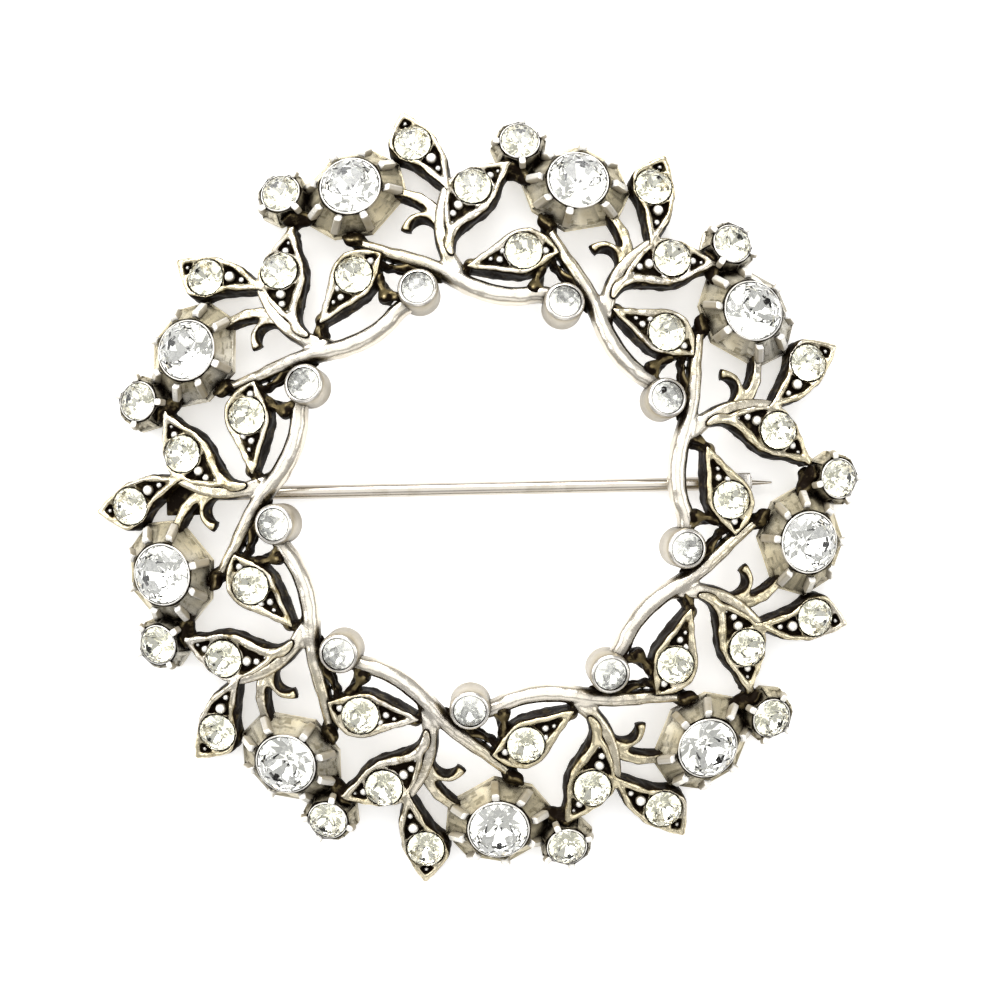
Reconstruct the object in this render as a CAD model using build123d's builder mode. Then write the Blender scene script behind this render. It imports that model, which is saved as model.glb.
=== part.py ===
"""Wreath brooch: nine cast sprays of leaves, a flower and berries, soldered in a ring and set with paste."""

import os
from math import asin, cos, degrees, radians, sin, sqrt
from typing import NamedTuple

from build123d import *

os.makedirs("parts", exist_ok=True)

# Whole wreath, in millimetres and degrees
wreath_radius = 24.5
spray_count = 9
first_spray_angle = 113.3
dome_radius = 70.0
tip_flat_cut = 0.35
pitch = 360 / spray_count

# Leaves: plates with a raised rim round a sunken floor
leaf_depth = 1.6
leaf_rim = 0.27
leaf_recess = 0.5
bead_radius = 0.24
bead_height = 0.36
bead_top_share = 0.55

# Vine, stem, tendril and the solder links, as strips with a sloped shoulder along each top edge
vine_width = 1.1
vine_depth = 1.35
stem_width = 0.62
stem_depth = 1.25
tendril_width = 0.36
tendril_depth = 0.9
link_width = 0.6
link_depth = 0.9
strip_lift = 0.12
shoulder_share = 0.3

# Flower cup: a skirt of eight flat panels with a claw down each ridge
flower_reach = 0.812
flower_turn = 0.008
flower_lift = 0.55
flower_lean = 4.0
flower_skirt_radius = 3.2
flower_mouth_radius = 2.2
flower_height = 1.85
flower_band = 0.4
flower_corners = (97, 52, 14, -27, -88, -130, -168, 150)
flower_claw_radius = 0.22
flower_claw_span = (-0.12, 0.66)

# Claw ends are bevelled by a share of the claw's radius
claw_bevel = 0.5

# Berry cup: a smaller faceted cup with four claws
berry_reach = 0.889
berry_turn = -0.262
berry_lift = 0.4
berry_lean = 5.0
berry_skirt_radius = 1.82
berry_mouth_radius = 1.42
berry_height = 1.5
berry_band = 0.35
berry_corners = (90, 25, -30, -78, -130, 187, 140)
berry_clawed_corners = (90, 25, -78, 187)
berry_claw_radius = 0.2
berry_claw_span = (-0.16, 0.3)

# Bezel collet: a plain tube rubbed over the stone's edge
bezel_reach = 0.515
bezel_turn = 0.16
bezel_lift = 0.0
bezel_lean = 4.0
bezel_radius = 1.27
bezel_height = 1.9
bezel_lip = 0.1

# Paste stones
flower_stone_diameter = 3.6
berry_stone_diameter = 2.3
leaf_stone_diameter = 2.3
bezel_stone_diameter = 2.0
stone_clearance = 0.03
leaf_stone_drop = 0.12
table_share = 0.56
crown_share = 0.17
girdle_share = 0.045
pavilion_share = 0.37
crown_break_share = 0.82
pavilion_break_share = 0.4

# Pin, hinge and catch on the back
pin_offset = 0.6
pin_slope = 1.2
pin_height = 0.78
pin_radius = 0.43
pin_point_radius = 0.06
pin_point_length = 4.0
pin_overshoot = 1.4
hinge_reach = 18.6
catch_reach = 16.2
eye_radius = 0.64
eye_width = 0.9
eye_gap = 0.05
eye_headroom = 0.1
ear_width = 0.55
ear_radius = 0.72
rivet_radius = 0.3
rivet_clearance = 0.03
rivet_press_gap = 0.01
rivet_head_radius = 0.46
rivet_head_height = 0.16
rivet_head_clearance = 0.04
pad_length = 2.4
pad_width = 2.6
pad_thickness = 0.4
pad_sink = 0.2
hook_width = 1.3
hook_wall = 0.22
hook_gap = 0.08
hook_mouth_angle = 60.0


class Wander(NamedTuple):
    """How far a spray was soldered off its even place: turn in degrees anticlockwise, shift outward in mm."""

    turn: float
    shift: float


class Spot(NamedTuple):
    """A place on the dome: reach is a share of wreath_radius, turn a share of the pitch, clockwise."""

    reach: float
    turn: float


class Bead(NamedTuple):
    """A grain of metal on a leaf's floor; size is a share of bead_radius."""

    spot: Spot
    size: float


class Leaf(NamedTuple):
    """A leaf's outline as two arcs, base to tip and back, with its stone and its beads."""

    base: Spot
    left: Spot
    tip: Spot
    right: Spot
    stone: Spot
    beads: tuple


wanders = (
    Wander(turn=-0.1, shift=0.4),
    Wander(turn=0.2, shift=0.0),
    Wander(turn=1.6, shift=-0.15),
    Wander(turn=-0.7, shift=-0.1),
    Wander(turn=-0.9, shift=0.3),
    Wander(turn=-0.1, shift=0.0),
    Wander(turn=0.6, shift=-0.1),
    Wander(turn=0.5, shift=-0.2),
    Wander(turn=0.5, shift=-0.1),
)

leaves = (
    Leaf(
        base=Spot(0.775, 0.43),
        left=Spot(0.876, 0.202),
        tip=Spot(1.005, 0.29),
        right=Spot(0.882, 0.432),
        stone=Spot(0.908, 0.308),
        beads=(
            Bead(Spot(0.968, 0.3), 0.8),
            Bead(Spot(0.851, 0.37), 1.0),
            Bead(Spot(0.824, 0.397), 0.75),
        ),
    ),
    Leaf(
        base=Spot(0.62, 0.43),
        left=Spot(0.818, 0.465),
        tip=Spot(0.857, 0.75),
        right=Spot(0.715, 0.64),
        stone=Spot(0.777, 0.548),
        beads=(
            Bead(Spot(0.722, 0.48), 1.0),
            Bead(Spot(0.686, 0.448), 0.75),
            Bead(Spot(0.812, 0.625), 0.8),
            Bead(Spot(0.823, 0.66), 0.6),
        ),
    ),
    Leaf(
        base=Spot(0.67, 0.1),
        left=Spot(0.698, -0.222),
        tip=Spot(0.572, -0.53),
        right=Spot(0.567, -0.2),
        stone=Spot(0.633, -0.172),
        beads=(
            Bead(Spot(0.649, -0.03), 0.9),
            Bead(Spot(0.603, -0.318), 0.85),
            Bead(Spot(0.587, -0.375), 0.65),
        ),
    ),
)

vine_spots = (Spot(0.715, -0.05), Spot(0.625, 0.225), Spot(0.55, 0.46), Spot(0.534, 1.0))
stem_spots = (Spot(0.56, 0.43), Spot(0.682, 0.372), Spot(0.79, 0.415))
flower_link_spots = (Spot(0.7, 0.378), Spot(0.76, 0.285), Spot(0.795, 0.13))
tendril_spots = (Spot(0.7, 0.36), Spot(0.726, 0.255), Spot(0.688, 0.185))
flower_spot = Spot(flower_reach, flower_turn)
berry_spot = Spot(berry_reach, berry_turn)
bezel_spot = Spot(bezel_reach, bezel_turn)
next_bezel_spot = Spot(bezel_reach, bezel_turn + 1)


def dome_height(radius):
    """Height of the dome's underside above the surface that the leaf tips stand on."""
    rise = sqrt(dome_radius**2 - radius**2) - sqrt(dome_radius**2 - wreath_radius**2)
    return rise - tip_flat_cut


def dome_plane(spot, lift, lean=0.0):
    """The plane that touches the dome at a spot: X clockwise, Y outward, Z off the front."""
    radius = spot.reach * wreath_radius
    bearing = radians(spot.turn * pitch)
    slope = asin(radius / dome_radius) + radians(lean)
    outward = Vector(sin(bearing), cos(bearing), 0)
    clockwise = Vector(cos(bearing), -sin(bearing), 0)
    upright = Vector(0, 0, 1)
    foot = outward * radius + upright * (dome_height(radius) + lift)
    return Plane(origin=foot, x_dir=clockwise, z_dir=outward * sin(slope) + upright * cos(slope))


def place_on(plane, spot, lift):
    """A spot's X and Y on a plane that touches the dome near it."""
    local = plane.to_local_coords(dome_plane(spot, lift).origin)
    return (local.X, local.Y)


def ring_point(radius, angle):
    """A point at an angle in degrees on a circle about the origin."""
    return (radius * cos(radians(angle)), radius * sin(radians(angle)))


def leaf_plane(leaf):
    """The plane of a leaf's rim, under the middle of its stone."""
    return dome_plane(leaf.stone, leaf_depth)


def leaf_plate(leaf):
    """One leaf: a pointed plate with a sunken floor and beads on it."""
    plane = leaf_plane(leaf)
    base, left, tip, right = (place_on(plane, spot, leaf_depth) for spot in leaf[:4])
    with BuildPart() as plate:
        with BuildSketch(plane) as outline:
            with BuildLine():
                ThreePointArc(base, left, tip)
                ThreePointArc(tip, right, base)
            make_face()
        extrude(amount=-leaf_depth)
        with BuildSketch(plane):
            add(outline.sketch_local)
            offset(amount=-leaf_rim, kind=Kind.INTERSECTION, mode=Mode.REPLACE)
        extrude(amount=-leaf_recess, mode=Mode.SUBTRACT)
        for bead in leaf.beads:
            x, y = place_on(plane, bead.spot, leaf_depth)
            radius = bead.size * bead_radius
            height = bead.size * bead_height
            with Locations(plane.offset(-leaf_recess) * Pos(x, y, height / 2)):
                Cone(radius, bead_top_share * radius, height)
    return plate.part


def strip_section(width, depth):
    """A strip's section in the sketch at hand, X up and off the dome: shoulders are shares of the width."""
    side = width / 2
    shoulder = shoulder_share * width
    Polygon(
        (-depth / 2, -side),
        (depth / 2 - shoulder, -side),
        (depth / 2, shoulder - side),
        (depth / 2, side - shoulder),
        (depth / 2 - shoulder, side),
        (-depth / 2, side),
        align=None,
    )


def strip(spots, width, depth):
    """A strip along the dome through its spots, as an arc, and on to a fourth spot where there is one."""
    lift = strip_lift + depth / 2
    plane = dome_plane(spots[1], lift)
    points = [place_on(plane, spot, lift) for spot in spots]
    with BuildPart() as metal:
        with BuildLine(plane) as route:
            bend = ThreePointArc(*points[:3])
            if len(points) > 3:
                TangentArc(points[2], points[3], tangent=bend % 1)
        with BuildSketch(Plane(origin=route.line @ 0, x_dir=plane.z_dir, z_dir=route.line % 0)):
            strip_section(width, depth)
        sweep()
    return metal.part


def link(start, end):
    """A straight solder link between two spots."""
    lift = strip_lift + link_depth / 2
    plane = dome_plane(start, lift)
    goal = dome_plane(end, lift).origin
    reach = goal - plane.origin
    with BuildPart() as metal:
        with BuildSketch(Plane(origin=plane.origin, x_dir=plane.z_dir, z_dir=reach)):
            strip_section(link_width, link_depth)
        extrude(amount=reach.length)
    return metal.part


def claw(start, end, radius):
    """A round-ended claw between two points."""
    along = end - start
    with BuildPart() as bar:
        with BuildSketch(Plane(origin=start, z_dir=along)):
            Circle(radius)
        extrude(amount=along.length)
        chamfer(bar.edges().filter_by(GeomType.CIRCLE), claw_bevel * radius)
    return bar.part


def cup(plane, corners, skirt_radius, mouth_radius, height, band):
    """A faceted cup: flat panels from the skirt up to the mouth, and a low band under them."""
    skirt = [ring_point(skirt_radius, angle) for angle in sorted(corners)]
    mouth = [ring_point(mouth_radius, angle) for angle in sorted(corners)]
    with BuildPart() as metal:
        with BuildSketch(plane):
            Polygon(*skirt, align=None)
        with BuildSketch(plane.offset(height)):
            Polygon(*mouth, align=None)
        loft(ruled=True)
        with BuildSketch(plane):
            Polygon(*skirt, align=None)
        extrude(amount=-band)
    return metal.part


def ridge_claws(plane, corners, skirt_radius, mouth_radius, height, radius, span):
    """Claws that lie along a cup's ridges; span is in shares of the ridge, from the mouth down."""
    claws = []
    for angle in corners:
        top = plane.from_local_coords(Vector(*ring_point(mouth_radius, angle), height))
        foot = plane.from_local_coords(Vector(*ring_point(skirt_radius, angle), 0))
        ridge = foot - top
        claws.append(claw(top + ridge * span[0], top + ridge * span[1], radius))
    return claws


flower_plane = dome_plane(flower_spot, flower_lift, flower_lean)
berry_plane = dome_plane(berry_spot, berry_lift, berry_lean)
bezel_plane = dome_plane(bezel_spot, bezel_lift, bezel_lean)

with BuildPart() as bezel:
    with BuildSketch(bezel_plane):
        Circle(bezel_radius)
    extrude(amount=bezel_height + bezel_lip)

spray_pieces = [
    *[leaf_plate(leaf) for leaf in leaves],
    strip(vine_spots, vine_width, vine_depth),
    strip(stem_spots, stem_width, stem_depth),
    strip(flower_link_spots, link_width, link_depth),
    strip(tendril_spots, tendril_width, tendril_depth),
    link(berry_spot, flower_spot),
    link(bezel_spot, vine_spots[2]),
    link(vine_spots[3], next_bezel_spot),
    cup(flower_plane, flower_corners, flower_skirt_radius, flower_mouth_radius, flower_height, flower_band),
    cup(berry_plane, berry_corners, berry_skirt_radius, berry_mouth_radius, berry_height, berry_band),
    *ridge_claws(
        flower_plane,
        flower_corners,
        flower_skirt_radius,
        flower_mouth_radius,
        flower_height,
        flower_claw_radius,
        flower_claw_span,
    ),
    *ridge_claws(
        berry_plane,
        berry_clawed_corners,
        berry_skirt_radius,
        berry_mouth_radius,
        berry_height,
        berry_claw_radius,
        berry_claw_span,
    ),
    bezel.part,
]

with BuildPart() as spray:
    add(spray_pieces)


class StonePlace(NamedTuple):
    """Where one stone of a spray sits: the plane of its girdle's lower edge, and its diameter."""

    plane: Plane
    diameter: float


flower_place = StonePlace(flower_plane.offset(flower_height), flower_stone_diameter)
berry_place = StonePlace(berry_plane.offset(berry_height), berry_stone_diameter)
bezel_place = StonePlace(
    bezel_plane.offset(bezel_height - girdle_share * bezel_stone_diameter), bezel_stone_diameter
)
leaf_places = [StonePlace(leaf_plane(leaf).offset(-leaf_stone_drop), leaf_stone_diameter) for leaf in leaves]


def brilliant(diameter):
    """A cut stone with a table, eight kites, stars and halves, its girdle's lower edge at height zero."""
    radius = diameter / 2
    girdle = girdle_share * diameter
    crown = crown_share * diameter
    pavilion = pavilion_share * diameter
    half_steps = 16
    half_step = 360 / half_steps
    crown_part = (1 - crown_break_share * cos(radians(half_step))) / (1 - table_share)
    pavilion_part = 1 - pavilion_break_share * cos(radians(half_step))

    def corner(share, step, height):
        return Vector(*ring_point(share * radius, step * half_step), height)

    culet = Vector(0, 0, -pavilion)
    table = [corner(table_share, step, girdle + crown) for step in range(0, half_steps, 2)]
    outlines = [table]
    for step in range(0, half_steps, 2):
        top = corner(table_share, step, girdle + crown)
        next_top = corner(table_share, step + 2, girdle + crown)
        before = corner(crown_break_share, step - 1, girdle + crown * crown_part)
        after = corner(crown_break_share, step + 1, girdle + crown * crown_part)
        low_before = corner(pavilion_break_share, step - 1, -pavilion * pavilion_part)
        low_after = corner(pavilion_break_share, step + 1, -pavilion * pavilion_part)
        upper = [corner(1, step + side, girdle) for side in (-1, 0, 1)]
        lower = [corner(1, step + side, 0) for side in (-1, 0, 1)]
        outlines += [
            [top, before, upper[1], after],
            [top, after, next_top],
            [before, upper[0], upper[1]],
            [after, upper[1], upper[2]],
            [upper[0], lower[0], lower[1], upper[1]],
            [upper[1], lower[1], lower[2], upper[2]],
            [lower[0], low_before, lower[1]],
            [lower[1], low_after, lower[2]],
            [culet, low_after, lower[1], low_before],
        ]
    return Solid(Shell([Face(Wire.make_polygon(outline)) for outline in outlines]))


def set_stone(place):
    """A stone in its place on the first spray's axis."""
    with BuildPart() as stone:
        add(place.plane.location * brilliant(place.diameter))
    return stone.part


def stone_seat(place):
    """The room that a stone needs in the metal, its clearance included."""
    radius = place.diameter / 2 + stone_clearance
    girdle = girdle_share * place.diameter
    crown = crown_share * place.diameter + stone_clearance
    pavilion = pavilion_share * place.diameter + 2 * stone_clearance
    table = table_share * place.diameter / 2
    section = Plane(origin=place.plane.origin, x_dir=place.plane.x_dir, z_dir=-place.plane.y_dir)
    with BuildPart() as room:
        with BuildSketch(section):
            Polygon(
                (0, -pavilion),
                (radius, 0),
                (radius, girdle + stone_clearance),
                (table, girdle + crown),
                (0, girdle + crown),
                align=None,
            )
        revolve(axis=Axis(place.plane.origin, place.plane.z_dir))
    return room.part


# Hinge, catch and pin share one plane along the pin, X towards the catch
pin_plane = Plane(
    origin=(0, pin_offset, pin_height),
    x_dir=(cos(radians(pin_slope)), sin(radians(pin_slope)), 0),
    z_dir=(0, 0, 1),
)
hinge_plane = Plane(
    origin=pin_plane.from_local_coords((-hinge_reach, 0, 0)), x_dir=pin_plane.x_dir, z_dir=-pin_plane.y_dir
)
catch_plane = Plane(
    origin=pin_plane.from_local_coords((catch_reach, 0, 0)), x_dir=pin_plane.y_dir, z_dir=pin_plane.x_dir
)
hinge_roof = dome_height(hinge_reach) + pad_sink - pin_height
catch_roof = dome_height(catch_reach) + pad_sink - pin_height
bearing_width = eye_width + 2 * eye_gap
hinge_width = bearing_width + 2 * ear_width
hook_inner_radius = pin_radius + hook_gap
hook_outer_radius = hook_inner_radius + hook_wall


def back_pad(reach, roof):
    """A pad soldered into the castings' backs: reach runs along the pin, roof is its height over the pin."""
    slope = -degrees(asin(reach / dome_radius))
    seat = Plane(
        origin=pin_plane.from_local_coords((reach, 0, roof)), x_dir=pin_plane.x_dir, z_dir=-pin_plane.y_dir
    ).rotated((0, 0, slope))
    with BuildPart() as pad:
        with BuildSketch(seat.offset(-pad_width / 2)):
            Rectangle(pad_length, pad_thickness)
        extrude(amount=pad_width)
    return pad.part


with BuildPart() as hinge_mount:
    with BuildSketch(hinge_plane.offset(-hinge_width / 2)):
        Circle(ear_radius)
        with Locations((0, hinge_roof / 2)):
            Rectangle(2 * ear_radius, hinge_roof)
    extrude(amount=hinge_width)

with BuildPart() as hinge_room:
    with BuildSketch(hinge_plane.offset(-bearing_width / 2)):
        Rectangle(2 * ear_radius, 2 * (eye_radius + eye_headroom))
    extrude(amount=bearing_width)
    head_room = rivet_press_gap + rivet_head_height + rivet_head_clearance
    with BuildSketch(hinge_plane.offset(-hinge_width / 2 - head_room)):
        Circle(rivet_radius + rivet_press_gap)
    extrude(amount=hinge_width + 2 * head_room)
    with BuildSketch(hinge_plane.offset(hinge_width / 2), hinge_plane.offset(-hinge_width / 2 - head_room)):
        Circle(rivet_head_radius + rivet_head_clearance)
    extrude(amount=head_room)

with BuildPart() as catch_mount:
    with BuildSketch(catch_plane.offset(-hook_width / 2)):
        Circle(hook_outer_radius)
        with Locations((0, catch_roof / 2)):
            Rectangle(hook_outer_radius, catch_roof)
        Circle(hook_inner_radius, mode=Mode.SUBTRACT)
        with BuildLine():
            mouth = [ring_point(2 * hook_outer_radius, side * hook_mouth_angle / 2) for side in (-1, 1)]
            Polyline((0, 0), mouth[0], mouth[1], close=True)
        make_face(mode=Mode.SUBTRACT)
    extrude(amount=hook_width)

with BuildPart() as pin_stem:
    with BuildSketch(pin_plane):
        wire_end = catch_reach + hook_width / 2 + pin_overshoot
        Polygon(
            (-hinge_reach, 0),
            (-hinge_reach, pin_radius),
            (wire_end - pin_point_length, pin_radius),
            (wire_end, pin_point_radius),
            (wire_end, 0),
            align=None,
        )
    revolve(axis=Axis(pin_plane.origin, pin_plane.x_dir))
    with BuildSketch(hinge_plane.offset(-eye_width / 2)):
        Circle(eye_radius)
    extrude(amount=eye_width)
    with BuildSketch(hinge_plane.offset(-eye_width)):
        Circle(rivet_radius + rivet_clearance)
    extrude(amount=2 * eye_width, mode=Mode.SUBTRACT)

with BuildPart() as hinge_rivet:
    rivet_seat = hinge_width / 2 + rivet_press_gap
    with BuildSketch(hinge_plane.offset(-rivet_seat)):
        Circle(rivet_radius)
    extrude(amount=2 * rivet_seat)
    with BuildSketch(hinge_plane.offset(rivet_seat), hinge_plane.offset(-rivet_seat - rivet_head_height)):
        Circle(rivet_head_radius)
    extrude(amount=rivet_head_height)

spray_locations = []
for number in range(spray_count):
    wander = wanders[number % len(wanders)]
    even_turn = first_spray_angle - 90 - pitch * number
    spray_locations.append(Rotation(0, 0, even_turn + wander.turn) * Pos(0, wander.shift, 0))


def round_the_wreath(solid):
    """A spray's solid at every spray, clockwise from the first."""
    return [solid.moved(location) for location in spray_locations]


stone_places = [flower_place, berry_place, bezel_place, *leaf_places]
seats = [seat for place in stone_places for seat in round_the_wreath(stone_seat(place))]

with BuildPart() as wreath_frame:
    add([*round_the_wreath(spray.part), back_pad(-hinge_reach, hinge_roof)])
    add([back_pad(catch_reach, catch_roof), hinge_mount.part, catch_mount.part])
    add([*seats, hinge_room.part], mode=Mode.SUBTRACT)
    with Locations((0, 0, -wreath_radius)):
        Box(3 * wreath_radius, 3 * wreath_radius, 2 * wreath_radius, mode=Mode.SUBTRACT)

leaf_stone_solids = [stone for place in leaf_places for stone in round_the_wreath(set_stone(place))]
with BuildPart() as leaf_stones:
    add(leaf_stone_solids)

nodes = {
    "wreath_frame": wreath_frame.part,
    "pin_stem": pin_stem.part,
    "hinge_rivet": hinge_rivet.part,
    "leaf_stones": leaf_stones.part,
}
for kind, place in (("flower", flower_place), ("berry", berry_place), ("bezel", bezel_place)):
    for number, stone in enumerate(round_the_wreath(set_stone(place)), start=1):
        nodes[f"{kind}_stone_{number}"] = stone

for name, solid in nodes.items():
    solid.label = name
    export_step(solid, f"parts/{name}.step")

print("solids in the frame:", len(wreath_frame.part.solids()))
print("hinge axis passes", hinge_plane.origin, "along", hinge_plane.z_dir)
print("pin's point", pin_plane.from_local_coords((wire_end, 0, 0)))
for face in wreath_frame.part.faces().filter_by(Plane.XY).group_by(Axis.Z)[0].sort_by(SortBy.AREA)[-3:]:
    print("flat to rest on:", face.center(), "area", round(face.area, 3))
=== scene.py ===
"""Dresses the wreath brooch: nine old silvered castings set with foiled paste, on a plain pale table."""

import logging
import math
import random
from collections.abc import Callable, Iterable, Mapping, Sequence
from dataclasses import dataclass
from typing import NamedTuple, TypeAlias

import bmesh
import bpy
from mathutils import Matrix, Vector, noise


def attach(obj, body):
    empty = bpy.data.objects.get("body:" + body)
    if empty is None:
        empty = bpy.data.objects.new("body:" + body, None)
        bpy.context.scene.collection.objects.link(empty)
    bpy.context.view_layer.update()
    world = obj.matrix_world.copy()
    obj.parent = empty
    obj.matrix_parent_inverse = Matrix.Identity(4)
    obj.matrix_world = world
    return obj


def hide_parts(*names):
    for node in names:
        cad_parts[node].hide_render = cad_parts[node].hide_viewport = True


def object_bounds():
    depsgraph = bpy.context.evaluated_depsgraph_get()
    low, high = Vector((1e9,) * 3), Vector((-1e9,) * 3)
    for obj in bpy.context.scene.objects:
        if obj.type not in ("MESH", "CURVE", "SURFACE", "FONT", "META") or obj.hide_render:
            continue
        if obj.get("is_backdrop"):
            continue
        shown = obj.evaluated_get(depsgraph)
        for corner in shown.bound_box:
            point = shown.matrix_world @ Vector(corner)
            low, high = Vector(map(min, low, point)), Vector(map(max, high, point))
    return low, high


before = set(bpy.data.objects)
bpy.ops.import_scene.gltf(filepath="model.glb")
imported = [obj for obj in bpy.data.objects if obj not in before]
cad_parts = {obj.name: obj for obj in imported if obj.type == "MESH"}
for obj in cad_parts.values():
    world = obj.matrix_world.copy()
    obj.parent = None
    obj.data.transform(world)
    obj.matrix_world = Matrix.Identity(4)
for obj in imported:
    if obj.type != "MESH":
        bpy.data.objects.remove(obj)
cad_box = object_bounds()

log = logging.getLogger("wreath_brooch")

MM = 0.001
UP = Vector((0.0, 0.0, 1.0))
BODY = "brooch"
CASTING = "wreath_frame"
STRIPS = "strips"

Colour: TypeAlias = tuple[float, float, float, float]


class Spot(NamedTuple):
    """A place on the dome: reach in radii of the wreath, and turn clockwise in pitches of a spray."""

    reach: float
    turn: float


class Wander(NamedTuple):
    """How far a spray was soldered off its even place: degrees anticlockwise, and millimetres outward."""

    turn: float
    shift: float


WANDERS = (
    Wander(-0.1, 0.4),
    Wander(0.2, 0.0),
    Wander(1.6, -0.15),
    Wander(-0.7, -0.1),
    Wander(-0.9, 0.3),
    Wander(-0.1, 0.0),
    Wander(0.6, -0.1),
    Wander(0.5, -0.2),
    Wander(0.5, -0.1),
)


@dataclass(frozen=True)
class Dome:
    """The shallow dome that the castings lie on, and the ring of nine places on it, in millimetres.

    Every spray is modelled once with its middle on +Y and copied to its nine places.
    """

    wreath_radius: float = 24.5
    dome_radius: float = 70.0
    tip_flat_cut: float = 0.35
    first_spray_angle: float = 113.3
    spray_count: int = 9

    @property
    def pitch(self) -> float:
        """Degrees from one spray to the next."""
        return 360 / self.spray_count

    @property
    def centre(self) -> float:
        """Height of the dome's centre, which is under the table."""
        return self.height(0) - self.dome_radius

    def height(self, radius: float) -> float:
        """Height of the castings' backs above the table, at a distance from the wreath's middle."""
        edge = math.sqrt(self.dome_radius**2 - self.wreath_radius**2)
        return math.sqrt(self.dome_radius**2 - radius**2) - edge - self.tip_flat_cut

    def seat(self, spot: Spot, lift: float = 0.0, lean: float = 0.0) -> Matrix:
        """The plane that touches the dome at a spot: X clockwise, Y outward, Z off the front.

        Args:
            spot: Where on the dome.
            lift: Distance straight above the castings' backs.
            lean: Extra tilt outward, in degrees.

        Returns:
            The plane's matrix.
        """
        radius = spot.reach * self.wreath_radius
        bearing = math.radians(spot.turn * self.pitch)
        slope = math.asin(radius / self.dome_radius) + math.radians(lean)
        outward = Vector((math.sin(bearing), math.cos(bearing), 0))
        clockwise = Vector((math.cos(bearing), -math.sin(bearing), 0))
        front = outward * math.sin(slope) + UP * math.cos(slope)
        foot = outward * radius + UP * (self.height(radius) + lift)
        return matrix_of(clockwise, front.cross(clockwise), front, foot)

    def on_seat(self, seat: Matrix, spot: Spot, lift: float) -> Vector:
        """A spot's place in the X and Y of a plane that touches the dome near it, at the same lift."""
        local = seat.inverted() @ self.seat(spot, lift).translation
        return Vector((local.x, local.y, 0))

    def normal(self, point: Vector) -> Vector:
        """The dome's outward direction at a point of the unit spray."""
        flat = Vector((point.x, point.y, 0)) / self.dome_radius
        return Vector((flat.x, flat.y, math.sqrt(1 - flat.length_squared)))

    def places(self) -> list[Matrix]:
        """The nine sprays' places, clockwise from the first."""
        places = []
        for number, wander in enumerate(WANDERS):
            turn = self.first_spray_angle - 90 - self.pitch * number + wander.turn
            turned = Matrix.Rotation(math.radians(turn), 4, "Z")
            places.append(turned @ Matrix.Translation((0, wander.shift, 0)))
        return places


def matrix_of(x_axis: Vector, y_axis: Vector, z_axis: Vector, origin: Vector) -> Matrix:
    """A matrix from its three columns and its origin."""
    turned = Matrix((x_axis, y_axis, z_axis)).transposed().to_4x4()
    turned.translation = origin
    return turned


def ring_point(radius: float, angle: float, height: float = 0.0) -> Vector:
    """A point at an angle in degrees on a circle round the Z axis."""
    return Vector((radius * math.cos(math.radians(angle)), radius * math.sin(math.radians(angle)), height))


def smooth_path(keys: Sequence[Vector], steps: int) -> list[Vector]:
    """Points along a smooth curve through keys of any number of columns.

    Args:
        keys: What the curve passes through; the columns after the third are sizes.
        steps: Points from one key to the next.

    Returns:
        The curve's points, with the last key at the end.
    """
    ends = [2 * keys[0] - keys[1], *keys, 2 * keys[-1] - keys[-2]]
    path = []
    for before, start, end, after in zip(ends, ends[1:], ends[2:], ends[3:]):
        bend = 2 * before - 5 * start + 4 * end - after
        twist = 3 * start - before - 3 * end + after
        for step in range(steps):
            t = step / steps
            path.append(0.5 * (2 * start + (end - before) * t + bend * t**2 + twist * t**3))
    return [*path, keys[-1].copy()]


def edges_of(verts: Iterable[bmesh.types.BMVert]) -> list[bmesh.types.BMEdge]:
    """The edges that meet some vertices, each once and always in the same order."""
    return list(dict.fromkeys(edge for vert in verts for edge in vert.link_edges))


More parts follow.
